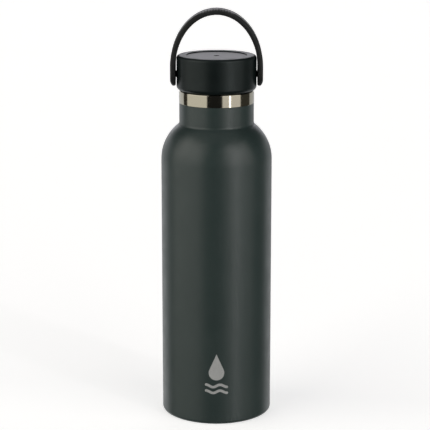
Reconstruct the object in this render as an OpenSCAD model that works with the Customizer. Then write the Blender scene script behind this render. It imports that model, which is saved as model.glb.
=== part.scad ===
// Insulated stainless-steel water bottle with a screw cap and a swinging carry handle.
//
// Frame: +Z is up, the origin is the centre of the ring that the bottle stands on, and the
// handle's pivots lie along X. All sizes are in millimetres.
//
// The vessel is two steel walls with a vacuum between them, joined by a threaded mouth ring.
// The cap is a threaded insert inside an outer shell, with foam between the two.

/* [Body] */
// Outside diameter of the body
body_d = 72; // [70:0.5:76]
// Height where the straight side ends and the shoulder begins
shoulder_z = 170.5; // [120:0.5:260]
// Radius of the shoulder's curve, seen from the side
shoulder_r = 28.8; // [28:0.1:29.5]
// Radius of the soft crease between shoulder and neck
crease_r = 2; // [1:0.5:3]
// Radius of the bottom edge
base_edge_r = 2.5; // [2:0.1:3]
// Thickness of the steel walls
wall_t = 0.4; // [0.4:0.05:0.5]
// Width of the vacuum gap along the body
vacuum_gap = 3.2; // [3:0.1:3.5]

/* [Neck] */
// Outside diameter of the neck
neck_d = 48.4; // [48:0.1:48.8]
// Height of the coated part of the neck above the end of the straight side
coated_neck_h = 37; // [34:0.5:40]
// Height of the bare steel band
band_h = 8; // [6:0.5:12]
// Inside diameter of the mouth
mouth_d = 39; // [38.6:0.1:39.2]
// Height of the threaded neck above the bare band
threaded_h = 13; // [13:0.5:15]

/* [Thread] */
// Rise of the thread in one turn
thread_pitch = 4.5; // [4.5:0.1:5]
// Height of each thread ridge above its wall
thread_depth = 1.2; // [1:0.05:1.25]
// Length of each thread in turns
thread_turns = 1.25; // [1:0.25:1.5]

/* [Cap] */
// Outside diameter of the cap
cap_d = 51.6; // [51.4:0.1:52.6]
// Height of the cap
cap_h = 22.5; // [22.5:0.5:26]
// Radius of the cap's upper edge
cap_top_edge_r = 2; // [1:0.1:2.5]
// Radius of the cap's lower edge
cap_low_edge_r = 2.8; // [1.5:0.1:3.2]
// Diameter of the disc set into the cap's top
top_disc_d = 39; // [36:0.5:41]
// Depth of the disc below the cap's rim
top_disc_depth = 0.6; // [0.5:0.1:1.2]

/* [Handle] */
// Height of the pivots above the cap's lower edge
pivot_rise = 10.2; // [9:0.1:12]
// Height of the arch above the pivots
handle_rise = 42; // [38:0.5:50]
// Gap between the cap's side and the handle's legs
handle_gap = 0.5; // [0.4:0.05:1.2]
// Thickness of the handle
handle_t = 3.55; // [3.2:0.05:3.7]
// Width of the handle at the top of its arch
handle_w = 14; // [12:0.5:15]
// Radius of the round eyes at the handle's ends
eye_r = 7.75; // [7.5:0.05:8]
// Radius of the pivot pins
pin_r = 1.5; // [1.25:0.05:1.75]

/* [Hidden] */
$fn = 96;

body_r = body_d / 2;
neck_r = neck_d / 2;
mouth_r = mouth_d / 2;
cap_r = cap_d / 2;

// Pieces that touch on the assembled bottle are drawn this far apart.
fit_gap = 0.05;

// Base
base_lip_w = 1.1;
base_recess_h = 4;
base_wall_r = body_r - base_edge_r - base_lip_w;
dimple_r = 4.5;
dimple_h = 1.2;
vacuum_hole_r = 0.75;
base_plate_r = base_wall_r - wall_t - 0.2;
base_plate_z = 2.2;
base_plate_t = 0.5;

// Liner
liner_r = body_r - wall_t - vacuum_gap;
liner_shoulder_r = shoulder_r - wall_t - vacuum_gap;
liner_crease_r = 3;
liner_base_z = 9;
liner_base_edge_r = 6;
liner_weld_z = 18;
foil_t = 0.15;
foil_gap = 0.1;

// Getter, hung under the liner's base in the vacuum
getter_x = 12;
getter_r = 4;
getter_h = 1.3;
clip_t = 0.3;

// Neck heights
band_z = shoulder_z + coated_neck_h;
ledge_z = band_z + band_h;
lip_z = ledge_z + threaded_h;
ring_wall = 1.5;
thread_root_r = mouth_r + ring_wall;
lap_h = 2;
liner_top_z = ledge_z - lap_h;
ledge_t = 1;
band_edge_r = 0.5;

// Threads: the cap's ridge runs half a pitch under the neck's, so that they mesh.
thread_gap = 0.4;
ridge_base_w = 2.5;
ridge_crest_w = 0.9;
ridge_sink = 0.3;
neck_thread_z = ledge_z + 3.8;
cap_thread_turn = 0.4;
insert_bore_r = thread_root_r + thread_depth + thread_gap;

// Cap heights
cap_z = ledge_z + 0.3;
cap_top_z = cap_z + cap_h;
insert_wall = 0.9;
insert_r = insert_bore_r + insert_wall;
shell_bore_r = insert_r + 0.1;
low_edge_x = cap_r - cap_low_edge_r;
low_edge_turn = -acos(max(0, shell_bore_r + 0.1 - low_edge_x) / cap_low_edge_r);
low_edge_z = cap_z - cap_low_edge_r * sin(low_edge_turn);
gasket_t = 2;
ceiling_z = lip_z + gasket_t;
ceiling_t = 1.5;
plug_r = mouth_r - 1.1;
plug_wall = 1.4;
plug_z = lip_z - 8.5;
plug_edge_r = 1;
disc_r = top_disc_d / 2;
disc_t = 1.5;
disc_z = cap_top_z - top_disc_depth - disc_t;
disc_ledge_w = 2;
disc_ledge_t = 1.5;
gate_r = 1.8;
gate_depth = 0.7;
rim_edge_r = 0.3;

// Handle and pivots
pivot_z = cap_z + pivot_rise;
boss_r = 2.2;
leg_x = cap_r + handle_gap;
boss_x = leg_x - fit_gap;
leg_out_x = leg_x + handle_t;
// The legs are upright to this height, so that they clear the cap's upper edge.
arch_z = cap_top_z - 7.3;
arch_rise = pivot_z + handle_rise - arch_z;
running_gap = 0.05;
washer_t = 0.3;
head_r = 2.8;
head_t = 0.95;
head_edge_r = 0.5;
head_gap = 0.3;
counterbore_x = leg_out_x - washer_t - head_t - 0.15;
washer_x = counterbore_x + 0.02;
pin_end_x = shell_bore_r + 0.15;

// Points on a circle about [x, z], from angle a to angle b.
function arc(x, z, r, a, b, n = 8) =
    [for (i = [0:n]) let (t = a + (b - a) * i / n) [x + r * cos(t), z + r * sin(t)]];

function reversed(points) = [for (i = [len(points) - 1:-1:0]) points[i]];

// Radius and height of a shoulder that curves into a neck, t inside the outer surface.
function shoulder(r, curve_r, neck, crease, t) =
    let (dx = neck + crease - (r - curve_r))
    let (dz = sqrt(pow(curve_r + crease, 2) - dx * dx))
    let (turn = atan2(dz, dx))
    concat(
        arc(r - curve_r, shoulder_z, curve_r - t, 0, turn, 14),
        arc(neck + crease, shoulder_z + dz, crease + t, 180 + turn, 180, 5)
    );

function shell_side(t) = concat(
    [[base_wall_r, t]],
    arc(body_r - base_edge_r, base_edge_r, base_edge_r - t, -90, 0, 6),
    shoulder(body_r, shoulder_r, neck_r, crease_r, t),
    [[neck_r - t, band_z]]
);

function liner_side(t) = concat(
    [[liner_r - t, liner_weld_z]],
    shoulder(liner_r, liner_shoulder_r, mouth_r + wall_t, liner_crease_r, t),
    [[mouth_r + wall_t - t, liner_top_z]]
);

function liner_cup(t) = concat(
    [[0, liner_base_z + t]],
    arc(liner_r - liner_base_edge_r, liner_base_z + liner_base_edge_r,
        liner_base_edge_r - t, -90, 0, 8),
    [[liner_r - t, liner_weld_z]]
);

// A ring or disc turned about Z from its half outline.
module turned(outline) {
    rotate_extrude() polygon(outline);
}

// A pressed steel sheet, turned from the two sides of its wall.
module pressed(outside, inside) {
    turned(concat(outside, reversed(inside)));
}

// A disc or ring with its four edges rounded.
module soft_ring(r_in, r_out, z_low, z_high, edge) {
    turned(concat(
        arc(r_in + edge, z_low + edge, edge, 180, 270, 4),
        arc(r_out - edge, z_low + edge, edge, -90, 0, 4),
        arc(r_out - edge, z_high - edge, edge, 0, 90, 4),
        arc(r_in + edge, z_high - edge, edge, 90, 180, 4)
    ));
}

// One right-hand thread ridge from base radius to crest radius. Its ends taper down.
// The base sinks into its wall, and a crest radius under the base radius makes an inside thread.
module thread_ridge(base_r, crest_r, z, first_turn) {
    steps_per_turn = 48;
    steps = thread_turns * steps_per_turn;
    taper_steps = 5;
    outward = sign(crest_r - base_r);
    sections = [for (i = [0:steps])
        let (turn = first_turn + i / steps_per_turn)
        let (full = min(1, 0.35 + 0.65 * min(i, steps - i) / taper_steps))
        let (crest = base_r + (crest_r - base_r) * full)
        let (height = z + turn * thread_pitch)
        for (p = [
            [base_r - outward * ridge_sink, -outward * ridge_base_w / 2],
            [base_r - outward * ridge_sink, outward * ridge_base_w / 2],
            [crest, outward * ridge_crest_w / 2],
            [crest, -outward * ridge_crest_w / 2]
        ])
        [p[0] * cos(360 * turn), p[0] * sin(360 * turn), height + p[1]]
    ];
    sides = [for (i = [0:steps - 1]) for (k = [0:3])
        let (a = 4 * i + k)
        let (b = 4 * i + (k + 1) % 4)
        for (face = [[a, a + 4, b + 4], [a, b + 4, b]]) face
    ];
    last = 4 * steps;
    ends = [[0, 1, 2], [0, 2, 3], [last + 2, last + 1, last], [last + 3, last + 2, last]];
    polyhedron(sections, concat(sides, ends));
}

// Draws its children on the right side, and mirrored on the left.
module both_sides() {
    for (side = [0, 1]) mirror([side, 0, 0]) children();
}

// A round shape along X at the pivot's height.
module pivot_round(r, x, length) {
    translate([x, 0, pivot_z]) rotate([0, 90, 0]) cylinder(r = r, h = length);
}

// Vessel ------------------------------------------------------------------------------------

// Outer wall: body, shoulder, coated neck and the curled bottom edge.
module outer_shell() {
    color("#333a3a") pressed(shell_side(0), shell_side(wall_t));
}

// Threaded mouth, with the bare band that shows between the cap and the coated neck.
module mouth_ring() {
    lap_r = neck_r - wall_t - 0.02;
    lip_r = ring_wall / 2;
    outline = concat(
        [[mouth_r, liner_top_z]],
        arc(mouth_r + lip_r, lip_z - lip_r, lip_r, 180, 0, 10),
        [[thread_root_r, ledge_z]],
        arc(neck_r - band_edge_r, ledge_z - band_edge_r, band_edge_r, 90, 0, 4),
        [
            [neck_r, band_z],
            [lap_r, band_z],
            [lap_r, band_z - lap_h],
            [lap_r - wall_t, band_z - lap_h],
            [lap_r - wall_t, ledge_z - ledge_t],
            [mouth_r + wall_t, ledge_z - ledge_t],
            [mouth_r + wall_t, liner_top_z]
        ]
    );
    color("#b9b4a6") union() {
        turned(outline);
        thread_ridge(thread_root_r, thread_root_r + thread_depth, neck_thread_z, 0);
    }
}

// Inner wall, welded to the mouth ring above and to its own base below.
module inner_liner() {
    color("#c4c6c6") pressed(liner_side(0), liner_side(wall_t));
}

module inner_base() {
    color("#c4c6c6") pressed(liner_cup(0), liner_cup(wall_t));
}

// Recessed bottom of the outer wall, with the dimple that holds the vacuum seal.
module outer_base() {
    top_z = base_recess_h + wall_t;
    weld_r = base_wall_r - 0.02;
    color("#4a5050") turned([
        [base_wall_r - wall_t, 0],
        [weld_r, 0],
        [weld_r, top_z],
        [dimple_r + wall_t, top_z],
        [dimple_r, top_z + dimple_h],
        [vacuum_hole_r, top_z + dimple_h],
        [vacuum_hole_r, base_recess_h + dimple_h],
        [dimple_r - wall_t, base_recess_h + dimple_h],
        [dimple_r, base_recess_h],
        [base_wall_r - wall_t, base_recess_h]
    ]);
}

// Shallow steel cover that hides the vacuum seal.
module base_plate() {
    rim_w = 0.5;
    color("#b8babb") turned([
        [0, base_plate_z],
        [base_plate_r - rim_w, base_plate_z],
        [base_plate_r, base_plate_z + rim_w],
        [base_plate_r, base_recess_h - fit_gap],
        [base_plate_r - rim_w, base_recess_h - fit_gap],
        [base_plate_r - rim_w, base_plate_z + base_plate_t],
        [0, base_plate_z + base_plate_t]
    ]);
}

// Glass bead that closes the hole through which the air was drawn out.
module vacuum_plug() {
    bead_r = dimple_r - wall_t - 0.4;
    bead_t = 1;
    bead_z = base_recess_h + dimple_h - fit_gap;
    stem_r = vacuum_hole_r - fit_gap;
    stem_top_z = bead_z + 0.8;
    color("#5f7f86") turned(concat(
        [[0, bead_z - bead_t]],
        arc(bead_r - bead_t, bead_z, bead_t, -90, 0, 6),
        [[stem_r, bead_z], [stem_r, stem_top_z], [0, stem_top_z]]
    ));
}

// Pill that soaks up stray gas in the vacuum.
module getter() {
    color("#77736c") translate([getter_x, 0, liner_base_z - fit_gap - getter_h])
        cylinder(r = getter_r, h = getter_h);
}

// Small steel cup, welded under the liner's base, that holds the getter.
module getter_clip() {
    inside_r = getter_r + fit_gap;
    cup_z = liner_base_z - 2 * fit_gap - getter_h - clip_t;
    color("#a9adae") translate([getter_x, 0, cup_z]) difference() {
        cylinder(r = inside_r + clip_t, h = liner_base_z - cup_z);
        translate([0, 0, clip_t]) cylinder(r = inside_r, h = liner_base_z);
    }
}

// Copper foil round the liner, which turns radiant heat back.
module heat_foil() {
    foil_r = liner_r + foil_gap;
    foil_z = liner_weld_z + 2;
    color("#b87548") translate([0, 0, foil_z]) difference() {
        cylinder(r = foil_r + foil_t, h = shoulder_z - foil_z - 4);
        translate([0, 0, -1]) cylinder(r = foil_r, h = shoulder_z);
    }
}

// Cap ---------------------------------------------------------------------------------------

// Outer shell of the cap, with the bosses that the handle's pins are pressed into.
module cap_shell() {
    outline = concat(
        arc(low_edge_x, low_edge_z, cap_low_edge_r, low_edge_turn, 0, 6),
        arc(cap_r - cap_top_edge_r, cap_top_z - cap_top_edge_r, cap_top_edge_r, 0, 90, 6),
        arc(disc_r + rim_edge_r, cap_top_z - rim_edge_r, rim_edge_r, 90, 180, 3),
        [
            [disc_r, disc_z],
            [disc_r - disc_ledge_w, disc_z],
            [disc_r - disc_ledge_w, disc_z - disc_ledge_t],
            [shell_bore_r, disc_z - disc_ledge_t],
            [shell_bore_r, cap_z]
        ]
    );
    color("#1e2021") difference() {
        union() {
            turned(outline);
            both_sides() pivot_round(boss_r, shell_bore_r + 1, boss_x - shell_bore_r - 1);
        }
        both_sides() pivot_round(pin_r, shell_bore_r - 1, boss_x - shell_bore_r + 2);
    }
}

// Disc set into the cap's top, with the round mark that its moulding gate leaves.
module cap_top_disc() {
    low = disc_z + fit_gap;
    high = disc_z + disc_t;
    color("#26282a") difference() {
        turned(concat(
            [[0, low], [disc_r - fit_gap, low]],
            arc(disc_r - fit_gap - rim_edge_r, high - rim_edge_r, rim_edge_r, 0, 90, 3),
            [[0, high]]
        ));
        translate([0, 0, high - gate_depth]) cylinder(r = gate_r, h = 1);
    }
}

// Threaded skirt, ceiling and hollow plug in one moulding.
module cap_insert() {
    outline = concat(
        [[0, plug_z]],
        arc(plug_r - plug_edge_r, plug_z + plug_edge_r, plug_edge_r, -90, 0, 4),
        [
            [plug_r, ceiling_z],
            [insert_bore_r, ceiling_z],
            [insert_bore_r, cap_z],
            [insert_r, cap_z],
            [insert_r, ceiling_z + ceiling_t],
            [plug_r - plug_wall, ceiling_z + ceiling_t],
            [plug_r - plug_wall, plug_z + plug_wall],
            [0, plug_z + plug_wall]
        ]
    );
    color("#2b2d2f") union() {
        turned(outline);
        thread_ridge(insert_bore_r, insert_bore_r - thread_depth,
                     neck_thread_z - thread_pitch / 2, cap_thread_turn);
    }
}

// Foam that fills the plug and the space under the top.
module cap_foam() {
    stem_r = plug_r - plug_wall - fit_gap;
    shoulder_low = ceiling_z + ceiling_t + fit_gap;
    high = disc_z - disc_ledge_t - fit_gap;
    color("#e8e4d6") turned([
        [0, plug_z + plug_wall + fit_gap],
        [stem_r, plug_z + plug_wall + fit_gap],
        [stem_r, shoulder_low],
        [insert_r, shoulder_low],
        [insert_r, high],
        [0, high]
    ]);
}

// Silicone ring that the cap presses on the lip.
module lip_gasket() {
    color("#8d9294") soft_ring(plug_r + 0.4, insert_bore_r - 0.4,
                               lip_z + fit_gap, ceiling_z - fit_gap, 0.5);
}

// Handle ------------------------------------------------------------------------------------

// Half an ellipse above the pivots, with straight legs below it.
function arch(half_w, rise) = concat(
    [[half_w, pivot_z - eye_r]],
    [for (a = [0:5:180]) [half_w * cos(a), arch_z + rise * sin(a)]],
    [[-half_w, pivot_z - eye_r]]
);

// Flat strap bent into an arch. Its round eyes turn on the pins, and each eye's outer face
// is counterbored for a washer and a pin head.
module handle_loop() {
    far = 2 * leg_out_x;
    color("#1b1d1e") difference() {
        intersection() {
            rotate([90, 0, 0]) linear_extrude(height = far, center = true)
                polygon(concat(arch(leg_out_x, arch_rise),
                               reversed(arch(leg_x, arch_rise - handle_t))));
            rotate([90, 0, 90]) linear_extrude(height = far, center = true) union() {
                translate([0, pivot_z]) circle(r = eye_r);
                polygon([
                    [-eye_r, pivot_z], [eye_r, pivot_z],
                    [handle_w / 2, arch_z + arch_rise + 1], [-handle_w / 2, arch_z + arch_rise + 1]
                ]);
            }
        }
        both_sides() pivot_round(pin_r + running_gap, leg_x - 1, handle_t + 2);
        both_sides() pivot_round(head_r + head_gap, counterbore_x, handle_t);
    }
}

// Round-headed pin, pressed through the handle's eye into the cap's boss.
module pivot_pin() {
    head_x = washer_x + washer_t;
    outline = concat(
        [[0, pin_end_x], [pin_r, pin_end_x], [pin_r, head_x], [head_r, head_x]],
        arc(head_r - head_edge_r, head_x + head_t - head_edge_r, head_edge_r, 0, 90, 4),
        [[0, head_x + head_t]]
    );
    color("#8c8f90") translate([0, 0, pivot_z]) rotate([0, 90, 0]) turned(outline);
}

// Washer whose rub on the handle holds it where it is put.
module friction_washer() {
    color("#3a3c3e") difference() {
        pivot_round(head_r, washer_x, washer_t);
        pivot_round(pin_r, washer_x - 1, washer_t + 2);
    }
}

outer_shell();
mouth_ring();
inner_liner();
inner_base();
outer_base();
base_plate();
vacuum_plug();
getter();
getter_clip();
heat_foil();
cap_shell();
cap_top_disc();
cap_insert();
cap_foam();
lip_gasket();
handle_loop();
mirror([1, 0, 0]) pivot_pin();  // pivot_pin_left
pivot_pin();  // pivot_pin_right
mirror([1, 0, 0]) friction_washer();  // friction_washer_left
friction_washer();  // friction_washer_right
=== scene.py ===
from math import acos, atan2, cos, degrees, hypot, pi, radians, sin, sqrt, tan

import bmesh
import bpy
import numpy as np
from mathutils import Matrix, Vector


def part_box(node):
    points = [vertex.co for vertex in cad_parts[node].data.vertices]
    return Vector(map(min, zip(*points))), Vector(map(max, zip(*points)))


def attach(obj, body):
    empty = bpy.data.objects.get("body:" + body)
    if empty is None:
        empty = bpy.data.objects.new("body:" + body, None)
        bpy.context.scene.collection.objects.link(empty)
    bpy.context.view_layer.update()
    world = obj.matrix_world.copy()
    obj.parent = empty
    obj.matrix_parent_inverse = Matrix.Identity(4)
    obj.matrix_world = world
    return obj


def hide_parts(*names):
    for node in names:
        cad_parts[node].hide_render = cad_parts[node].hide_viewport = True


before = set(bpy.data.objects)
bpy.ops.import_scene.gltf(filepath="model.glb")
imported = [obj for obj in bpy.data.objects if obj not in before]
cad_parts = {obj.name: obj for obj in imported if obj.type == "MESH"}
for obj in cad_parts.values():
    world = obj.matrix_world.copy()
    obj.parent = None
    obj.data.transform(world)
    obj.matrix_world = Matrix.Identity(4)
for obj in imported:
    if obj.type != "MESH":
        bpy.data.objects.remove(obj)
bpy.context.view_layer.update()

MM = 0.001

# ---- Sizes, as in part.scad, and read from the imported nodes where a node's box gives them ----

BODY_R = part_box("outer_shell")[1].x
BAND_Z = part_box("outer_shell")[1].z
LIP_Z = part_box("mouth_ring")[1].z
NECK_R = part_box("mouth_ring")[1].x
CAP_Z, CAP_TOP_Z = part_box("cap_shell")[0].z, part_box("cap_shell")[1].z
CAP_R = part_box("cap_shell")[1].y
BOSS_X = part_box("cap_shell")[1].x
PLUG_Z, INSERT_TOP_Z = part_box("cap_insert")[0].z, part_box("cap_insert")[1].z
INSERT_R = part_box("cap_insert")[1].x
DISC_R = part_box("cap_top_disc")[1].x
DISC_LOW_Z, DISC_TOP_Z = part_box("cap_top_disc")[0].z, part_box("cap_top_disc")[1].z
HANDLE_TOP_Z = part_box("handle_loop")[1].z
HANDLE_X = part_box("handle_loop")[1].x
EYE_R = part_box("handle_loop")[1].y
PIVOT_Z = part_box("handle_loop")[0].z + EYE_R
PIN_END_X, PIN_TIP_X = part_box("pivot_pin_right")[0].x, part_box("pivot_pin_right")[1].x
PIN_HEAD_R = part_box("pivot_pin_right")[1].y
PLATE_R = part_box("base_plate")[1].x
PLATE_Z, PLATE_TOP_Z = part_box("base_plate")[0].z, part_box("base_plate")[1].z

WALL_T = 0.4 * MM
COAT_SINK = 0.03 * MM
SEAM_BEVEL = 0.12 * MM
SHOULDER_Z = 170.5 * MM
SHOULDER_R = 28.8 * MM
CREASE_R = 2 * MM
BASE_EDGE_R = 2.5 * MM
BASE_WALL_R = 32.4 * MM
BASE_RECESS_H = 4 * MM

MOUTH_R = 19.5 * MM
THREAD_ROOT_R = 21 * MM
THREAD_DEPTH = 1.2 * MM
THREAD_PITCH = 4.5 * MM
THREAD_TURNS = 1.25
THREAD_BASE_W = 2.2 * MM
THREAD_CREST_W = 0.9 * MM
LEDGE_Z = LIP_Z - 13 * MM
LAP_Z = BAND_Z - 2 * MM
NECK_THREAD_Z = LEDGE_Z + 3.8 * MM
CAP_THREAD_TURN = 0.4

INSERT_BORE_R = 22.6 * MM
PLUG_R = 18.4 * MM
CEILING_Z = LIP_Z + 2 * MM
SHELL_BORE_R = INSERT_R + 0.1 * MM
CAP_LOW_EDGE_R = 2.8 * MM
CAP_TOP_EDGE_R = 2 * MM
BOSS_R = 2.2 * MM
GATE_R = 1.8 * MM
GATE_DEPTH = 0.7 * MM
DISC_LEDGE_W = 2 * MM
HANDLE_T = 3.55 * MM
HANDLE_TOP_W = 14 * MM
ARCH_Z = CAP_TOP_Z - 7.3 * MM
PIN_R = 1.5 * MM
BORE_R = 1.55 * MM
COUNTERBORE_R = 3.1 * MM
COUNTERBORE_X = HANDLE_X - 1.4 * MM
HANDLE_OUT_EDGE = 1.7 * MM
HANDLE_IN_EDGE = 1.0 * MM
HEAD_T = 0.95 * MM
TIP_START = 3.4 * MM
TIP_TAPER = 1.1 * MM

# Steps of the meshes: round a turned piece, round an eye, round an edge and across the strap's face.
SEGMENTS = 192
EYE_STEPS = 20
EDGE_STEPS = 7
FACE_COLUMNS = 6
TINY = 1e-7


# ---- Outlines -------------------------------------------------------------------------------


def arc(r, z, radius, start, end, steps=8):
    """Points on a circle about (r, z), from one angle to another in degrees."""
    turns = np.radians(np.linspace(start, end, steps + 1))
    return [(r + radius * cos(t), z + radius * sin(t)) for t in turns]


def rounded(corners, steps=4):
    """A closed outline through (r, z, edge radius) corners, each rounded to its radius."""
    points = []
    for i, (r, z, radius) in enumerate(corners):
        here = Vector((r, z))
        back = (Vector(corners[i - 1][:2]) - here).normalized()
        ahead = (Vector(corners[(i + 1) % len(corners)][:2]) - here).normalized()
        half = back.angle(ahead) / 2
        if radius < TINY or half > radians(89):
            points.append((r, z))
            continue
        centre = here + (back + ahead).normalized() * (radius / sin(half))
        first = here + back * (radius / tan(half)) - centre
        turn = first.angle_signed(here + ahead * (radius / tan(half)) - centre)
        start = atan2(first.y, first.x)
        for k in range(steps + 1):
            angle = start - turn * k / steps
            points.append((centre.x + radius * cos(angle), centre.y + radius * sin(angle)))
    return points


def ladder(r, low, high, step):
    """Closely spaced points up or down a straight wall at radius r."""
    count = max(2, round(abs(high - low) / step))
    return [(r, z) for z in np.linspace(low, high, count + 1)]


def shoulder(inset):
    """The side of the coated shell, from the shoulder's start into the neck, inset from its outside."""
    across = NECK_R + CREASE_R - (BODY_R - SHOULDER_R)
    rise = sqrt((SHOULDER_R + CREASE_R) ** 2 - across ** 2)
    turn = degrees(atan2(rise, across))
    curve = arc(BODY_R - SHOULDER_R, SHOULDER_Z, SHOULDER_R - inset, 0, turn, 40)
    crease = arc(NECK_R + CREASE_R, SHOULDER_Z + rise, CREASE_R + inset, 180 + turn, 180, 10)
    return curve + crease


# ---- Meshes ---------------------------------------------------------------------------------


def finished(name, bm):
    """Turns a bmesh into a shaded object of that name."""
    bmesh.ops.recalc_face_normals(bm, faces=bm.faces)
    mesh = bpy.data.meshes.new(name)
    bm.to_mesh(mesh)
    bm.free()
    piece = bpy.data.objects.new(name, mesh)
    bpy.context.scene.collection.objects.link(piece)
    shade(piece)
    return piece


def shade(piece, sharp=32):
    """Smooth shading led by the larger faces, with crisp edges where the surface bends sharply."""
    mesh = piece.data
    mesh.polygons.foreach_set("use_smooth", [True] * len(mesh.polygons))
    mesh.set_sharp_from_angle(angle=radians(sharp))
    lead = piece.modifiers.new("lead", "WEIGHTED_NORMAL")
    lead.keep_sharp = True
    apply_modifiers(piece)


def apply_modifiers(piece):
    """Replaces the piece's mesh by what its modifiers make of it."""
    bpy.context.view_layer.update()
    result = piece.evaluated_get(bpy.context.evaluated_depsgraph_get())
    mesh = bpy.data.meshes.new_from_object(result)
    piece.modifiers.clear()
    piece.data = mesh


def bridge(bm, ring, following):
    """Joins two closed rings of the same length, or a ring and a single point."""
    count = max(len(ring), len(following))
    for k in range(count):
        ends = (k % len(ring), (k + 1) % len(ring))
        far = ((k + 1) % len(following), k % len(following))
        corners = [ring[ends[0]], ring[ends[1]], following[far[0]], following[far[1]]]
        bm.faces.new(dict.fromkeys(corners))


def lathe(name, outline, segments=SEGMENTS, thread=None, along_x=0):
    """A closed solid turned from an outline about Z, or about the pivots' axis on the side along_x."""
    bm = bmesh.new()
    turns = [2 * pi * k / segments for k in range(segments)]
    rings = []
    for r, z in outline:
        if r < TINY:
            rings.append([bm.verts.new((0, 0, z))])
            continue
        reach = [r + (thread(r, z, turn) if thread else 0) for turn in turns]
        rings.append([bm.verts.new((p * cos(t), p * sin(t), z)) for p, t in zip(reach, turns)])
    for ring, following in zip(rings, rings[1:] + rings[:1]):
        if len(ring) > 1 or len(following) > 1:
            bridge(bm, ring, following)
    if along_x:
        for v in bm.verts:
            v.co = (along_x * v.co.z, v.co.x, PIVOT_Z + v.co.y)
    return finished(name, bm)


def thread_ridge(wall_r, crest_r, low_z, first_turn):
    """How far a right-hand thread ridge moves a wall, by the wall's radius, height and angle."""
    lean = (THREAD_BASE_W - THREAD_CREST_W) / 2
    fade_turns = 0.06

    def push(r, z, angle):
        if abs(r - wall_r) > TINY:
            return 0
        rise = 0
        for lap in range(3):
            turn = angle / (2 * pi) + lap
            room = min(turn - first_turn, first_turn + THREAD_TURNS - turn)
            if room < 0:
                continue
            off = abs(z - low_z - turn * THREAD_PITCH)
            side = min(1, max(0, (THREAD_BASE_W / 2 - off) / lean))
            end = min(1, room / fade_turns)
            rise = max(rise, side * side * (3 - 2 * side) * sqrt(end))
        return rise * (crest_r - wall_r)

    return push


def combine(piece, other, operation):
    """Adds the other solid to the piece, or cuts it out of the piece, for good."""
    modifier = piece.modifiers.new("combine", "BOOLEAN")
    modifier.object, modifier.operation, modifier.solver = other, operation, "EXACT"
    apply_modifiers(piece)
    shade(piece)
    bpy.data.objects.remove(other)


# ---- Finishes -------------------------------------------------------------------------------


class Nodes:
    """A node tree, with short calls that add nodes to it and link them."""

    def __init__(self, tree):
        self.tree = tree

    def feed(self, socket, value):
        """Links the socket to another one, or sets its value."""
        if isinstance(value, bpy.types.NodeSocket):
            self.tree.links.new(value, socket)
        else:
            socket.default_value = value

    def node(self, kind, **inputs):
        """A new node with its inputs fed, where _ in a name stands for a space."""
        made = self.tree.nodes.new(kind)
        for socket, value in inputs.items():
            self.feed(made.inputs[socket.replace("_", " ")], value)
        return made

    def math(self, operation, a, b=0.0):
        """The outcome of a sum on one or two values."""
        made = self.node("ShaderNodeMath")
        made.operation = operation
        self.feed(made.inputs[0], a)
        self.feed(made.inputs[1], b)
        return made.outputs[0]

    def mixed(self, amount, first, second):
        """A colour between the first and the second."""
        made = self.node("ShaderNodeMix", Factor=amount)
        made.data_type = "RGBA"
        for socket, color in zip([s for s in made.inputs if s.type == "RGBA"], (first, second)):
            self.feed(socket, color)
        return next(s for s in made.outputs if s.type == "RGBA")


class Finish(Nodes):
    """A Principled material, with its procedural detail added by the calls below."""

    def __init__(self, name, color, roughness, **constants):
        self.material = bpy.data.materials.new(name)
        self.material.use_nodes = True
        super().__init__(self.material.node_tree)
        self.shader = self.tree.nodes["Principled BSDF"]
        self.spot = self.node("ShaderNodeTexCoord").outputs["Object"]
        self.normal = None
        self.set("Base Color", (*color, 1))
        self.set("Roughness", roughness)
        for socket, value in constants.items():
            self.set(socket.replace("_", " "), value)

    def set(self, socket, value):
        self.shader.inputs[socket].default_value = value

    def axes(self):
        """The place on the piece as three values, in metres in the shared frame at rest."""
        split = self.node("ShaderNodeSeparateXYZ", Vector=self.spot)
        return split.outputs["X"], split.outputs["Y"], split.outputs["Z"]

    def from_axis(self):
        """Distance from the bottle's own axis."""
        x, y, _ = self.axes()
        squares = self.math("ADD", self.math("MULTIPLY", x, x), self.math("MULTIPLY", y, y))
        return self.math("SQRT", squares)

    def noise(self, size, detail=2.0, stretch=(1, 1, 1), spot=None):
        """Soft noise with features of about this size in metres, stretched along the axes."""
        scaled = self.node("ShaderNodeMapping", Vector=spot or self.spot, Scale=stretch)
        made = self.node("ShaderNodeTexNoise", Vector=scaled.outputs[0], Scale=1 / size, Detail=detail)
        return made.outputs["Fac"]

    def grain(self, size):
        """Fine pebbled cells, as a moulded or powder-coated skin has."""
        made = self.node("ShaderNodeTexVoronoi", Vector=self.spot, Scale=1 / size)
        made.feature = "SMOOTH_F1"
        return made.outputs["Distance"]

    def spread(self, value, low, high, to_low=0.0, to_high=1.0):
        """Carries a value from one range, low to high, over to another, and holds it there."""
        made = self.node("ShaderNodeMapRange", Value=value, From_Min=low, From_Max=high,
                         To_Min=to_low, To_Max=to_high)
        return made.outputs[0]

    def tint(self, amount, color):
        """Mixes another colour in, by the amount."""
        current = self.shader.inputs["Base Color"]
        below = current.links[0].from_socket if current.is_linked else current.default_value[:]
        self.feed(current, self.mixed(amount, below, (*color, 1)))

    def rough(self, amount, low, high):
        """Roughness that runs from low to high as the amount goes from 0 to 1."""
        self.feed(self.shader.inputs["Roughness"], self.spread(amount, 0, 1, low, high))

    def bump(self, height, depth, strength=1.0):
        """Raises the surface by up to depth metres where height is 1."""
        made = self.node("ShaderNodeBump", Height=height, Distance=depth, Strength=strength)
        if self.normal:
            self.feed(made.inputs["Normal"], self.normal)
        self.normal = made.outputs[0]
        self.feed(self.shader.inputs["Normal"], self.normal)


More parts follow.
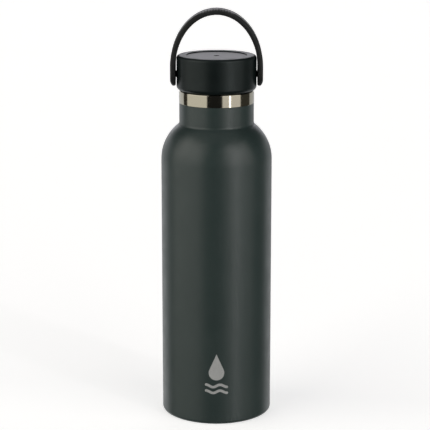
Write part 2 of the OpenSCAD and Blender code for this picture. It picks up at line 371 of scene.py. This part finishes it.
def powder_coat(name="powder_coat"):
    """Charcoal powder coat: satin, faintly pebbled, rubbed a little where the bottle stands."""
    f = Finish(name, (0.018, 0.032, 0.030), 0.38, Specular_IOR_Level=0.6)
    cloud = f.noise(28 * MM, 3)
    f.tint(f.spread(cloud, 0.35, 0.7, 0, 0.35), (0.024, 0.040, 0.037))
    speckle = f.noise(0.35 * MM, 1)
    f.tint(f.spread(speckle, 0.66, 0.8, 0, 0.5), (0.05, 0.06, 0.058))
    z = f.axes()[2]
    mottle = f.math("MULTIPLY", f.spread(z, 1.6 * MM, 0.2 * MM), f.spread(f.noise(2.5 * MM, 4), 0.42, 0.6))
    f.tint(f.math("MULTIPLY", mottle, 0.6), (0.16, 0.165, 0.16))
    f.rough(f.spread(f.noise(9 * MM, 4), 0.3, 0.7), 0.33, 0.41)
    f.bump(f.grain(0.42 * MM), 0.03 * MM, 0.6)
    f.bump(f.noise(1.8 * MM, 2), 0.02 * MM, 0.5)
    return f.material


def turned_steel(name, color=(0.455, 0.43, 0.35), roughness=0.2, lines=0.05 * MM, depth=0.001 * MM):
    """Bare steel with fine lines round the axis."""
    f = Finish(name, color, roughness, Metallic=1.0, Anisotropic=0.4, Anisotropic_Rotation=0.25)
    tangent = f.node("ShaderNodeTangent")
    tangent.direction_type, tangent.axis = "RADIAL", "Z"
    f.feed(f.shader.inputs["Tangent"], tangent.outputs[0])
    z = f.axes()[2]
    height = f.node("ShaderNodeCombineXYZ", X=f.from_axis(), Z=z).outputs[0]
    brushed = f.noise(lines, 3, spot=height)
    drift = f.noise(6 * MM, 3, (1, 1, 3))
    f.tint(f.spread(brushed, 0.35, 0.75, 0, 0.3), tuple(c * 0.72 for c in color))
    f.rough(f.spread(drift, 0.3, 0.7), roughness * 0.9, roughness * 1.15)
    f.bump(brushed, depth, 0.5)
    return f.material


def satin_steel(name, color, roughness):
    """Electropolished steel sheet, as inside the bottle."""
    f = Finish(name, color, roughness, Metallic=1.0)
    f.tint(f.spread(f.noise(14 * MM, 3), 0.35, 0.7, 0, 0.4), tuple(c * 0.85 for c in color))
    f.rough(f.spread(f.noise(1.2 * MM, 3), 0.3, 0.7), roughness * 0.85, roughness * 1.2)
    f.bump(f.noise(0.5 * MM, 3), 0.006 * MM, 0.5)
    return f.material


def moulded(name, color, roughness, grain=0.3 * MM, depth=0.016 * MM, lift=1.6, **constants):
    """Moulded plastic with a fine eroded grain and a slightly uneven sheen."""
    f = Finish(name, color, roughness, **constants)
    f.tint(f.spread(f.noise(11 * MM, 3), 0.35, 0.7, 0, 0.5), tuple(c * lift for c in color))
    f.rough(f.spread(f.noise(5 * MM, 4), 0.3, 0.7), roughness * 0.88, roughness * 1.12)
    f.bump(f.grain(grain), depth, 0.6)
    f.bump(f.noise(grain * 4, 2), depth, 0.4)
    return f


def ribbed_strap(name, color, roughness, **constants):
    """Moulded plastic with a patch of low cross ribs on top of the strap, where the colour is lightened
    as a mottled painted sheen.
    """
    f = moulded(name, color, roughness, **constants)
    x, y, z = f.axes()
    long = f.spread(f.math("ABSOLUTE", x), 11.3 * MM, 10.7 * MM)
    wide = f.spread(f.math("ABSOLUTE", y), 6.9 * MM, 6.2 * MM)
    outside = f.spread(z, HANDLE_TOP_Z - 3.3 * MM, HANDLE_TOP_Z - 3.0 * MM)
    ribbed_sheen_patch = f.math("MULTIPLY", f.math("MULTIPLY", long, wide), outside)
    wave = f.math("SINE", f.math("MULTIPLY", x, 2 * pi / (1.8 * MM)))
    ribs = f.math("MULTIPLY", f.spread(wave, -0.8, 0.8), ribbed_sheen_patch)
    # Painted sheen: the patch on the strap's top, and its rib crests more, are tinted lighter to stand
    # in for a highlight, unevenly by this noise.
    mottle = f.spread(f.noise(3.5 * MM, 4), 0.35, 0.65, 0.2, 1)
    f.tint(f.math("MULTIPLY", ribbed_sheen_patch, mottle), (0.075, 0.075, 0.08))
    f.tint(f.math("MULTIPLY", ribs, f.math("MULTIPLY", mottle, 0.6)), (0.28, 0.28, 0.29))
    f.bump(ribs, 0.25 * MM, 0.8)
    return f


def spun_disc(name, color, roughness):
    """Fine matt plastic with faint rings round the axis, as a turned mould leaves."""
    f = Finish(name, color, roughness, Specular_IOR_Level=0.5)
    ring = f.node("ShaderNodeCombineXYZ", X=f.from_axis()).outputs[0]
    f.tint(f.spread(f.noise(9 * MM, 3), 0.35, 0.7, 0, 0.5), tuple(c * 1.15 for c in color))
    f.rough(f.spread(f.noise(4 * MM, 3), 0.3, 0.7), roughness * 0.96, roughness * 1.04)
    f.bump(f.noise(0.22 * MM, 2, spot=ring), 0.006 * MM, 0.5)
    f.bump(f.grain(0.25 * MM), 0.008 * MM, 0.5)
    return f.material


def silicone(name):
    f = Finish(name, (0.3, 0.32, 0.33), 0.55, Specular_IOR_Level=0.4)
    f.tint(f.spread(f.noise(4 * MM, 3), 0.35, 0.7, 0, 0.5), (0.36, 0.38, 0.39))
    f.rough(f.spread(f.noise(2 * MM, 3), 0.3, 0.7), 0.5, 0.64)
    f.bump(f.noise(0.4 * MM, 2), 0.01 * MM, 0.4)
    return f.material


def foam(name):
    f = Finish(name, (0.8, 0.76, 0.66), 0.9)
    f.tint(f.spread(f.noise(6 * MM, 3), 0.35, 0.7, 0, 0.5), (0.7, 0.64, 0.52))
    f.bump(f.grain(0.9 * MM), 0.12 * MM, 0.8)
    f.rough(f.grain(0.9 * MM), 0.82, 0.98)
    return f.material


def rolled_foil(name):
    f = Finish(name, (0.78, 0.4, 0.25), 0.25, Metallic=1.0)
    f.tint(f.spread(f.noise(12 * MM, 4), 0.4, 0.75, 0, 0.6), (0.6, 0.28, 0.17))
    f.rough(f.spread(f.noise(3 * MM, 4), 0.3, 0.7), 0.2, 0.36)
    f.bump(f.noise(7 * MM, 4, (1, 1, 0.2)), 0.15 * MM, 0.6)
    return f.material


def bead_glass(name):
    f = Finish(name, (0.16, 0.26, 0.28), 0.12, Transmission_Weight=0.5, IOR=1.52)
    f.tint(f.spread(f.noise(1.2 * MM, 3), 0.4, 0.7, 0, 0.6), (0.08, 0.14, 0.15))
    f.rough(f.spread(f.noise(0.6 * MM, 3), 0.3, 0.7), 0.08, 0.2)
    f.bump(f.noise(1.5 * MM, 2), 0.03 * MM, 0.5)
    return f.material


def sintered(name):
    f = Finish(name, (0.2, 0.19, 0.18), 0.7, Metallic=0.6)
    f.tint(f.spread(f.grain(0.4 * MM), 0.3, 0.7, 0, 0.7), (0.1, 0.095, 0.09))
    f.rough(f.noise(0.5 * MM, 3), 0.6, 0.85)
    f.bump(f.grain(0.4 * MM), 0.05 * MM, 0.8)
    return f.material


def printed_ink(name):
    """Light grey screen print, a little uneven over the coat's grain."""
    f = Finish(name, (0.3, 0.305, 0.3), 0.5, Specular_IOR_Level=0.35)
    f.tint(f.spread(f.noise(0.5 * MM, 3), 0.5, 0.75, 0, 0.45), (0.2, 0.205, 0.2))
    f.rough(f.spread(f.noise(2 * MM, 3), 0.3, 0.7), 0.44, 0.58)
    f.bump(f.grain(0.42 * MM), 0.01 * MM, 0.5)
    return f.material


# ---- Placing a piece ------------------------------------------------------------------------


def place(piece, body, slot, material, *nodes):
    """Gives a piece its finish and its body, and hides the CAD nodes that it stands for."""
    piece.data.materials.clear()
    piece.data.materials.append(material)
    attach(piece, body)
    if nodes:
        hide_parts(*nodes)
    return piece


# ---- Vessel ---------------------------------------------------------------------------------


def coated_body(coat):
    """Body, shoulder and coated neck in one drawn shell, with the curled edge it stands on."""

    def side(inset):
        edge = arc(BODY_R - BASE_EDGE_R, BASE_EDGE_R, BASE_EDGE_R - inset, -90, 0, 14)
        return [(BASE_WALL_R, inset)] + edge + shoulder(inset) + [(NECK_R - inset, BAND_Z)]

    coat_r = NECK_R - COAT_SINK
    bevel = [(coat_r, BAND_Z - SEAM_BEVEL), (coat_r - SEAM_BEVEL, BAND_Z)]
    piece = lathe("coated_body", side(COAT_SINK)[:-1] + bevel + side(WALL_T)[::-1])
    place(piece, "bottle", "powder_coat", coat, "outer_shell")


def threaded_mouth(steel):
    """Bare steel band, ledge and threaded neck, with a rolled lip."""
    lap_r = NECK_R - WALL_T
    lap_gap = 0.02 * MM
    inner_r = MOUTH_R + WALL_T
    lip_r = (THREAD_ROOT_R - MOUTH_R) / 2
    foot_r, edge_r, ledge_t = 0.5 * MM, 0.6 * MM, 1 * MM
    top = arc(MOUTH_R + lip_r, LIP_Z - lip_r, lip_r, 180, 0, 12)
    wall = ladder(THREAD_ROOT_R, LIP_Z - lip_r, LEDGE_Z + foot_r, 0.2 * MM)[1:]
    ledge = arc(THREAD_ROOT_R + foot_r, LEDGE_Z + foot_r, foot_r, 180, 270, 5)[1:]
    edge = arc(NECK_R - edge_r, LEDGE_Z - edge_r, edge_r, 90, 0, 8)
    inside = [
        (NECK_R, BAND_Z + SEAM_BEVEL),
        (NECK_R - SEAM_BEVEL / 2, BAND_Z),
        (lap_r - lap_gap, BAND_Z),
        (lap_r - lap_gap, LAP_Z),
        (lap_r - WALL_T, LAP_Z),
        (lap_r - WALL_T, LEDGE_Z - ledge_t),
        (inner_r, LEDGE_Z - ledge_t),
        (inner_r, LEDGE_Z - 2 * ledge_t),
        (MOUTH_R, LEDGE_Z - 2 * ledge_t),
    ]
    thread = thread_ridge(THREAD_ROOT_R, THREAD_ROOT_R + THREAD_DEPTH, NECK_THREAD_Z, 0)
    piece = lathe("threaded_mouth", top + wall + ledge + edge + inside, thread=thread)
    place(piece, "bottle", "brushed_steel", steel, "mouth_ring")


def foot_recess(coat):
    """Coated bottom wall, set up inside the ring that the bottle stands on, with its vacuum dimple."""
    low = BASE_RECESS_H
    top = low + WALL_T
    dimple_r, dimple_h, hole_r = 4.5 * MM, 1.2 * MM, 0.75 * MM
    piece = lathe("foot_recess", rounded([
        (BASE_WALL_R - WALL_T, 0, 0),
        (BASE_WALL_R, 0, 0),
        (BASE_WALL_R, top, 0.5 * MM),
        (dimple_r + WALL_T, top, 0.2 * MM),
        (dimple_r, top + dimple_h, 0.2 * MM),
        (hole_r, top + dimple_h, 0),
        (hole_r, low + dimple_h, 0),
        (dimple_r - WALL_T, low + dimple_h, 0.2 * MM),
        (dimple_r, low, 0.2 * MM),
        (BASE_WALL_R - WALL_T, low, 0.8 * MM),
    ]))
    place(piece, "bottle", "powder_coat", coat, "outer_base")


def foot_plate(steel):
    """Pressed steel disc in the base, with a shallow stepped centre."""
    step_r = 24 * MM
    step_h = 0.25 * MM
    thick = 0.5 * MM
    piece = lathe("foot_plate", rounded([
        (0, PLATE_Z + step_h, 0),
        (step_r - step_h, PLATE_Z + step_h, 0.4 * MM),
        (step_r, PLATE_Z, 0.4 * MM),
        (PLATE_R, PLATE_Z, 0.6 * MM),
        (PLATE_R, PLATE_TOP_Z, 0.15 * MM),
        (PLATE_R - thick, PLATE_TOP_Z, 0.15 * MM),
        (PLATE_R - thick, PLATE_Z + thick, 0.2 * MM),
        (step_r, PLATE_Z + thick, 0.4 * MM),
        (step_r - step_h, PLATE_Z + thick + step_h, 0.4 * MM),
        (0, PLATE_Z + thick + step_h, 0),
    ]))
    place(piece, "bottle", "brushed_steel", steel, "base_plate")


# ---- Cap ------------------------------------------------------------------------------------


def cap_cover(plastic):
    """Outer shell of the cap, with a round boss on each side for the handle's pin."""
    gap = 0.05 * MM
    ledge_z, ledge_r, ledge_t = DISC_LOW_Z - gap, DISC_R - DISC_LEDGE_W, 1.5 * MM
    flat_r = SHELL_BORE_R + 0.1 * MM
    turn = -degrees(acos((flat_r - CAP_R + CAP_LOW_EDGE_R) / CAP_LOW_EDGE_R))
    low_z = CAP_Z - CAP_LOW_EDGE_R * sin(radians(turn))
    low_edge = arc(CAP_R - CAP_LOW_EDGE_R, low_z, CAP_LOW_EDGE_R, turn, 0, 14)
    rest = rounded([
        (SHELL_BORE_R, CAP_Z, 0),
        (CAP_R, CAP_Z, 0),
        (CAP_R, CAP_TOP_Z, CAP_TOP_EDGE_R),
        (DISC_R + gap, CAP_TOP_Z, 0.35 * MM),
        (DISC_R + gap, ledge_z, 0),
        (ledge_r, ledge_z, 0),
        (ledge_r, ledge_z - ledge_t, 0),
        (SHELL_BORE_R, ledge_z - ledge_t, 0),
    ], 10)
    piece = lathe("cap_cover", rest[:1] + low_edge + rest[2:])
    past = 1 * MM
    for side in (-1, 1):
        boss = lathe("boss", rounded([
            (0, SHELL_BORE_R + past, 0),
            (BOSS_R, SHELL_BORE_R + past, 0),
            (BOSS_R, BOSS_X, 0.15 * MM),
            (0, BOSS_X, 0),
        ]), 48, along_x=side)
        combine(piece, boss, "UNION")
        bore = lathe("bore", [
            (0, SHELL_BORE_R - past), (PIN_R, SHELL_BORE_R - past),
            (PIN_R, BOSS_X + past), (0, BOSS_X + past),
        ], 48, along_x=side)
        combine(piece, bore, "DIFFERENCE")
    place(piece, "cap", "cap_plastic", plastic, "cap_shell")


def cap_disc(plastic):
    """Disc in the cap's top, with the round witness mark of its moulding gate."""
    piece = lathe("cap_disc", rounded([
        (0, DISC_LOW_Z, 0),
        (DISC_R, DISC_LOW_Z, 0),
        (DISC_R, DISC_TOP_Z, 0.3 * MM),
        (GATE_R, DISC_TOP_Z, 0.12 * MM),
        (GATE_R - 0.1 * MM, DISC_TOP_Z - GATE_DEPTH, 0.12 * MM),
        (0, DISC_TOP_Z - GATE_DEPTH, 0),
    ], 5))
    place(piece, "cap", "disc_plastic", plastic, "cap_top_disc")


def cap_thread_insert(plastic):
    """Threaded skirt, ceiling and hollow plug of the cap."""
    plug_edge_r, skirt_edge_r, wall_t = 1 * MM, 0.4 * MM, 1.4 * MM
    skirt_z = CAP_Z + skirt_edge_r
    hollow_r, hollow_z = PLUG_R - wall_t, PLUG_Z + wall_t
    outline = (
        [(0, PLUG_Z)]
        + arc(PLUG_R - plug_edge_r, PLUG_Z + plug_edge_r, plug_edge_r, -90, 0, 8)
        + [(PLUG_R, CEILING_Z)]
        + ladder(INSERT_BORE_R, CEILING_Z, skirt_z, 0.2 * MM)
        + arc(INSERT_BORE_R + skirt_edge_r, skirt_z, skirt_edge_r, 180, 270, 4)[1:]
        + [(INSERT_R, CAP_Z), (INSERT_R, INSERT_TOP_Z)]
        + [(hollow_r, CEILING_Z + 1.5 * MM), (hollow_r, hollow_z), (0, hollow_z)]
    )
    thread = thread_ridge(INSERT_BORE_R, INSERT_BORE_R - THREAD_DEPTH,
                          NECK_THREAD_Z - THREAD_PITCH / 2, CAP_THREAD_TURN)
    piece = lathe("cap_thread_insert", outline, thread=thread)
    place(piece, "cap", "insert_plastic", plastic, "cap_insert")


def mouth_gasket(rubber):
    """Silicone ring that the cap presses down on the lip."""
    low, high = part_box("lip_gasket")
    r_in, edge = PLUG_R + 0.4 * MM, 0.5 * MM
    piece = lathe("mouth_gasket", rounded([
        (r_in, low.z, edge), (high.x, low.z, edge), (high.x, high.z, edge), (r_in, high.z, edge),
    ], 6))
    place(piece, "seal", "silicone", rubber, "lip_gasket")


# ---- Handle ---------------------------------------------------------------------------------


class Strap:
    """The handle's strap, drawn flat and then carried along its arch, from the left eye to the right.

    A flat point is so far along the strap, so far across it, and so far out from its middle.
    """

    def __init__(self, spacing):
        half_w = HANDLE_X - HANDLE_T / 2
        rise = HANDLE_TOP_Z - HANDLE_T / 2 - ARCH_Z
        turns = np.radians(np.linspace(180, 0, 721))
        curve = [(half_w * cos(t), ARCH_Z + rise * sin(t)) for t in turns]
        path = [(-half_w, PIVOT_Z)] + curve + [(half_w, PIVOT_Z)]
        lengths = [hypot(b[0] - a[0], b[1] - a[1]) for a, b in zip(path, path[1:])]
        reach = np.concatenate([[0], np.cumsum(lengths)])
        self.length = reach[-1]
        self.even = np.linspace(0, self.length, round(self.length / spacing) + 1)
        self.xs = np.interp(self.even, reach, [p[0] for p in path])
        self.zs = np.interp(self.even, reach, [p[1] for p in path])

    def half_width(self, z):
        """Half the strap's width at a height: full at the eyes, less at the top."""
        up = (z - PIVOT_Z) / (HANDLE_TOP_Z - HANDLE_T / 2 - PIVOT_Z)
        return EYE_R + (HANDLE_TOP_W / 2 - EYE_R) * up

    def outline(self, inset):
        """The flat outline, stepped in: up one side, round the far eye, back, round the near eye."""
        up = [(s, self.half_width(z) - inset) for s, z in zip(self.even, self.zs)]
        down = [(s, -w) for s, w in reversed(up)]
        r = EYE_R - inset
        turns = np.linspace(0, pi, EYE_STEPS + 1)[1:-1]
        far = [(self.length + r * sin(a), r * cos(a)) for a in turns]
        near = [(-r * sin(a), -r * cos(a)) for a in turns]
        return up + far + down + near

    def carried(self, s, y, out):
        """A flat point in its place on the arch. The ends' outer sides lean in towards their tips."""
        held = min(max(s, 0), self.length)
        past = s - held
        if past:
            along = Vector((0, -1 if past > 0 else 1))
        else:
            step = 0.4 * MM
            ends = [min(max(held + way * step, 0), self.length) for way in (-1, 1)]
            xs, zs = np.interp(ends, self.even, self.xs), np.interp(ends, self.even, self.zs)
            along = Vector((xs[1] - xs[0], zs[1] - zs[0])).normalized()
        if out > 0:
            tip = max(0, (abs(past) - TIP_START) / (EYE_R - TIP_START))
            out *= 1 - TIP_TAPER * tip ** 2 / (HANDLE_T / 2)
        x, z = np.interp(held, self.even, self.xs), np.interp(held, self.even, self.zs)
        return (x + along.x * past - along.y * out, y, z + along.y * past + along.x * out)


def edge_round(radius, way):
    """Steps round one edge of the strap, from its side to its face: inset and distance out."""
    turns = [pi / 2 * k / EDGE_STEPS for k in range(EDGE_STEPS + 1)]
    flat = HANDLE_T / 2 - radius
    return [(radius * (1 - cos(a)), way * (flat + radius * sin(a))) for a in turns]


def strap_face(bm, strap, ring, inset, out):
    """Fills the strap's inner or outer face with rows of faces, from the near eye to the far one."""
    flat = strap.outline(inset)
    far_tip = len(strap.even) + EYE_STEPS // 2 - 1
    near_tip = len(flat) - EYE_STEPS // 2
    rows = []
    for step in range((far_tip - near_tip) % len(flat) + 1):
        a, b = (near_tip + step) % len(flat), (near_tip - step) % len(flat)
        if a == b:
            rows.append([ring[a]])
            continue
        inner = []
        for t in (k / FACE_COLUMNS for k in range(1, FACE_COLUMNS)):
            s = flat[a][0] * (1 - t) + flat[b][0] * t
            y = flat[a][1] * (1 - t) + flat[b][1] * t
            inner.append(bm.verts.new(strap.carried(s, y, out)))
        rows.append([ring[a]] + inner + [ring[b]])
    for row, following in zip(rows, rows[1:]):
        last, next_last = len(row) - 1, len(following) - 1
        for k in range(max(last, next_last)):
            corners = [row[min(k, last)], row[min(k + 1, last)],
                       following[min(k + 1, next_last)], following[min(k, next_last)]]
            bm.faces.new(dict.fromkeys(corners))


def carry_handle(plastic):
    """Flat strap bent into an arch, with rounded edges and a round eye at each end."""
    strap = Strap(1.1 * MM)
    bm = bmesh.new()
    rounds = edge_round(HANDLE_IN_EDGE, -1)[::-1] + edge_round(HANDLE_OUT_EDGE, 1)
    rings = []
    for inset, out in rounds:
        rings.append([bm.verts.new(strap.carried(s, y, out)) for s, y in strap.outline(inset)])
    for ring, following in zip(rings, rings[1:]):
        bridge(bm, ring, following)
    strap_face(bm, strap, rings[0], *rounds[0])
    strap_face(bm, strap, rings[-1], *rounds[-1])
    piece = finished("carry_handle", bm)
    flare = 0.25 * MM
    for side in (-1, 1):
        cutter = lathe("cutter", [
            (0, BOSS_X - 2 * MM),
            (BORE_R, BOSS_X - 2 * MM),
            (BORE_R, COUNTERBORE_X),
            (COUNTERBORE_R, COUNTERBORE_X),
            (COUNTERBORE_R, HANDLE_X - flare),
            (COUNTERBORE_R + 2 * flare, HANDLE_X + flare),
            (0, HANDLE_X + flare),
        ], 64, along_x=side)
        combine(piece, cutter, "DIFFERENCE")
    place(piece, "handle", "handle_plastic", plastic, "handle_loop")


def pivot_pins(steel):
    """Two round-headed pins, with a shallow centre mark in each head."""
    head_x = PIN_TIP_X - HEAD_T
    mark_r, mark_x = 0.6 * MM, PIN_TIP_X - 0.25 * MM
    for side, name in ((-1, "left"), (1, "right")):
        pin = lathe(f"pin_{name}", rounded([
            (0, PIN_END_X, 0),
            (PIN_R, PIN_END_X, 0.2 * MM),
            (PIN_R, head_x, 0),
            (PIN_HEAD_R, head_x, 0.15 * MM),
            (PIN_HEAD_R, PIN_TIP_X, 0.55 * MM),
            (1.5 * mark_r, PIN_TIP_X, 0.1 * MM),
            (mark_r, mark_x, 0.1 * MM),
            (0, mark_x, 0),
        ]), 64, along_x=side)
        place(pin, "cap", "pin_steel", steel, f"pivot_pin_{name}")


# ---- Print on the front ---------------------------------------------------------------------


def printed(name, outlines, ink):
    """Flat closed shapes, each a list of loops from rim to middle, laid on the body's front."""
    bm = bmesh.new()
    back_r, front_r = BODY_R - COAT_SINK - 0.01 * MM, BODY_R - 0.004 * MM

    def wrapped(r, points):
        """Flat points bent round the body's front at radius r."""
        return [bm.verts.new((r * sin(u / BODY_R), -r * cos(u / BODY_R), z)) for u, z in points]

    for loops in outlines:
        skins = []
        for r in (back_r, front_r):
            skin = [wrapped(r, points) for points in loops]
            for ring, following in zip(skin, skin[1:]):
                bridge(bm, ring, following)
            skins.append(skin)
        bridge(bm, skins[0][0], skins[1][0])
    piece = finished(name, bm)
    place(piece, "bottle", "printed_ink", ink)


def shrunk(points, middle, steps):
    """Loops from an outline down to a point."""
    mid_u, mid_z = middle
    loops = []
    for k in range(steps):
        t = 1 - k / steps
        loops.append([(mid_u + (u - mid_u) * t, mid_z + (z - mid_z) * t) for u, z in points])
    return loops + [[middle]]


def drop_mark(ink):
    """A plain water drop over two waves, as a generic mark."""
    drop_r, drop_z, tip_h = 5.1 * MM, 35.6 * MM, 12.6 * MM
    lean = pi / 2 - acos(drop_r / tip_h)
    turns = np.linspace(pi - lean, 2 * pi + lean, 61)
    drop = [(drop_r * cos(a), drop_z + drop_r * sin(a)) for a in turns]
    edge_u, edge_z = drop[-1]
    tip_z = drop_z + tip_h
    tip = [(edge_u * (1 - t), edge_z + (tip_z - edge_z) * t) for t in np.linspace(0, 1, 13)[1:]]
    back = [(-u, z) for u, z in reversed(tip[:-1])]
    shapes = [shrunk(drop + tip + back, (0, drop_z), 8)]
    half_w, swing, half_t = 6.8 * MM, 0.8 * MM, 0.85 * MM
    for level in (26.7 * MM, 22.7 * MM):
        across = np.linspace(-half_w, half_w, 81)
        spine = [(u, level + swing * sin(1.5 * pi * u / half_w)) for u in across]
        shapes.append(stroke(spine, half_t))
    printed("drop_mark", shapes, ink)


def stroke(spine, half_t):
    """A line of even width with round ends, as loops from its rim in to its spine."""

    def side(offset, way):
        points = []
        for i, (u, z) in enumerate(spine):
            a, b = spine[max(i - 1, 0)], spine[min(i + 1, len(spine) - 1)]
            along = Vector((b[0] - a[0], b[1] - a[1])).normalized()
            points.append((u - way * along.y * offset, z + way * along.x * offset))
        return points

    def round_end(i, j, offset):
        along = Vector((spine[i][0] - spine[j][0], spine[i][1] - spine[j][1])).normalized()
        start = atan2(along.y, along.x) + pi / 2
        return [(spine[i][0] + offset * cos(start - a), spine[i][1] + offset * sin(start - a))
                for a in np.linspace(0, pi, 9)[1:-1]]

    loops = []
    for offset in (half_t, half_t * 0.5, half_t * 0.02):
        far, near = round_end(-1, -2, offset), round_end(0, 1, offset)
        loops.append(side(offset, 1) + far + side(offset, -1)[::-1] + near)
    return loops


# ---- Stage ----------------------------------------------------------------------------------


def floor_finish():
    """Pale acrylic that glows a little, as a lit photo table does."""
    f = Finish("pale_floor", (0.84, 0.84, 0.84), 0.75, Specular_IOR_Level=0.1)
    f.set("Emission Color", (1, 1, 1, 1))
    f.set("Emission Strength", FLOOR_GLOW)
    f.tint(f.spread(f.noise(0.4, 3), 0.35, 0.7, 0, 0.3), (0.88, 0.88, 0.875))
    f.bump(f.noise(0.8 * MM, 2), 0.01 * MM, 0.2)
    return f.material


def floor():
    """A wide plain floor. Shiny surfaces mirror the studio's walls, as they do over a lit table."""
    bm = bmesh.new()
    half = 6
    lines = np.linspace(-half, half, 13)
    grid = [[bm.verts.new((x, y, 0)) for x in lines] for y in lines]
    for row, following in zip(grid, grid[1:]):
        for k in range(len(row) - 1):
            bm.faces.new((row[k], row[k + 1], following[k + 1], following[k]))
    piece = finished("floor", bm)
    piece.data.materials.append(floor_finish())
    piece.visible_glossy = False


# Light panels of the studio: from and to, in degrees round from the front towards the right, low
# and high, in degrees above the horizon, softness of the sides in degrees, colour and power.
PANELS = [
    (-101.5, -29.5, -20, 50, 2, (1.0, 0.97, 0.91), 1.0),
    (-101.5, -29.5, 8, 50, 2, (1.0, 0.97, 0.91), 0.6),
    (18, 79, -16.5, 45, 2, (1.0, 0.96, 0.93), 0.98),
    (18, 79, 4, 45, 2, (1.0, 0.98, 0.94), 0.45),
    (40.5, 43.5, -20, 45, 1.5, (1.0, 1.0, 1.0), 7.0),
    (-168, -121.5, -70, 16, 4, (0.99, 1.0, 1.02), 0.72),
    (122.5, 168, -70, 12, 4, (0.99, 1.0, 1.02), 0.55),
    (-168, -121.5, -70, -13, 4, (1.0, 1.0, 1.0), 0.25),
    (122.5, 168, -70, -13, 4, (1.0, 1.0, 1.0), 0.25),
    (-181, -155, 0, 32, 4, (0.98, 0.97, 1.03), 1.2),
    (155, 181, 0, 32, 4, (0.98, 0.97, 1.03), 1.2),
    (-121.5, -101.5, -70, 0, 2, (1.0, 0.88, 0.62), 0.03),
    (79, 122.5, -70, 0, 2, (1.0, 0.92, 0.7), 0.04),
    (-200, 200, 60, 100, 4, (1.0, 1.0, 1.0), 0.3),
]
# Softness of the panels' upper and lower ends, in radians.
PANEL_END_SOFT = 0.1
ROOM_GLOW = 0.018
FLOOR_GLOW = 0.59

# Lens and picture width in millimetres, and the places that the camera stands at and looks at.
LENS, PICTURE_W = 142, 36
CAMERA_AT = Vector((0, -1.085, 0.385))
CAMERA_AIM = Vector((-0.001, 0, 0.1325))


def studio():
    """A dark room with tall light panels, and a plain white surround behind the bottle in any view."""
    world = bpy.data.worlds.new("studio")
    world.use_nodes = True
    nodes = Nodes(world.node_tree)

    def ramp(value, start, end):
        made = nodes.node("ShaderNodeMapRange", Value=value, From_Min=start, From_Max=end)
        made.interpolation_type = "SMOOTHSTEP"
        return made.outputs[0]

    def between(value, low, high, soft):
        """1 from low to high and 0 outside, with ends that are soft by so much either way."""
        risen = ramp(value, low - soft, low + soft)
        return nodes.math("MULTIPLY", risen, ramp(value, high + soft, high - soft))

    way = nodes.node("ShaderNodeTexCoord").outputs["Generated"]
    x, y, z = nodes.node("ShaderNodeSeparateXYZ", Vector=way).outputs
    azimuth = nodes.math("ARCTAN2", x, nodes.math("MULTIPLY", y, -1.0))
    height = nodes.math("ARCSINE", z)
    light = (ROOM_GLOW,) * 3
    for first, last, low, high, soft, color, power in PANELS:
        across = between(azimuth, radians(first), radians(last), radians(soft) / 2)
        upright = between(height, radians(low), radians(high), PANEL_END_SOFT)
        amount = nodes.math("MULTIPLY", across, upright)
        red, green, blue = (nodes.math("MULTIPLY", amount, part * power) for part in color)
        glow = nodes.node("ShaderNodeCombineXYZ", X=red, Y=green, Z=blue).outputs[0]
        total = nodes.node("ShaderNodeVectorMath")
        total.operation = "ADD"
        nodes.feed(total.inputs[0], glow)
        nodes.feed(total.inputs[1], light)
        light = total.outputs[0]
    seen_directly = nodes.node("ShaderNodeLightPath").outputs["Is Camera Ray"]
    background = nodes.tree.nodes["Background"]
    nodes.feed(background.inputs["Color"], nodes.mixed(seen_directly, light, (1, 1, 1, 1)))
    bpy.context.scene.world = world
    bpy.context.scene.view_settings.view_transform = "Standard"


def camera():
    """The photograph's view: from the front, a little above, with a long lens."""
    data = bpy.data.cameras.new("camera")
    data.lens, data.sensor_width = LENS, PICTURE_W
    view = bpy.data.objects.new("camera", data)
    view.location = CAMERA_AT
    view.rotation_euler = (CAMERA_AIM - CAMERA_AT).to_track_quat("-Z", "Y").to_euler()
    bpy.context.scene.collection.objects.link(view)
    bpy.context.scene.camera = view


# ---- Making ---------------------------------------------------------------------------------

camera()
studio()
floor()

coat = powder_coat()
band_steel = turned_steel("brushed_steel", roughness=0.12)
coated_body(coat)
threaded_mouth(band_steel)
foot_recess(coat)
foot_plate(turned_steel("plate_steel", (0.6, 0.6, 0.6), 0.3, 0.25 * MM, 0.004 * MM))
cap_cover(moulded("cap_plastic", (0.0035, 0.0064, 0.0062), 0.38,
                  Specular_IOR_Level=0.31, Specular_Tint=(0.9, 1.0, 1.0, 1.0)).material)
cap_disc(spun_disc("disc_plastic", (0.012, 0.012, 0.014), 0.38))
cap_thread_insert(moulded("insert_plastic", (0.02, 0.021, 0.022), 0.42).material)
mouth_gasket(silicone("silicone"))
carry_handle(ribbed_strap("handle_plastic", (0.011, 0.012, 0.012), 0.46, depth=0.035 * MM,
                          Specular_IOR_Level=0.22).material)
pivot_pins(turned_steel("pin_steel", (0.28, 0.28, 0.29), 0.28))
drop_mark(printed_ink("printed_ink"))

# Pieces that the others hide keep their CAD solids, with a finish.
liner = satin_steel("liner_steel", (0.6, 0.6, 0.59), 0.3)
washer = moulded("washer_nylon", (0.03, 0.03, 0.031), 0.45, 0.2 * MM).material
kept = {
    "inner_liner": liner,
    "inner_base": liner,
    "getter_clip": liner,
    "vacuum_plug": bead_glass("solder_glass"),
    "getter": sintered("getter_alloy"),
    "heat_foil": rolled_foil("copper"),
    "cap_foam": foam("foam"),
    "friction_washer_left": washer,
    "friction_washer_right": washer,
}
for node, material in kept.items():
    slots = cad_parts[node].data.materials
    slots.clear()
    slots.append(material)
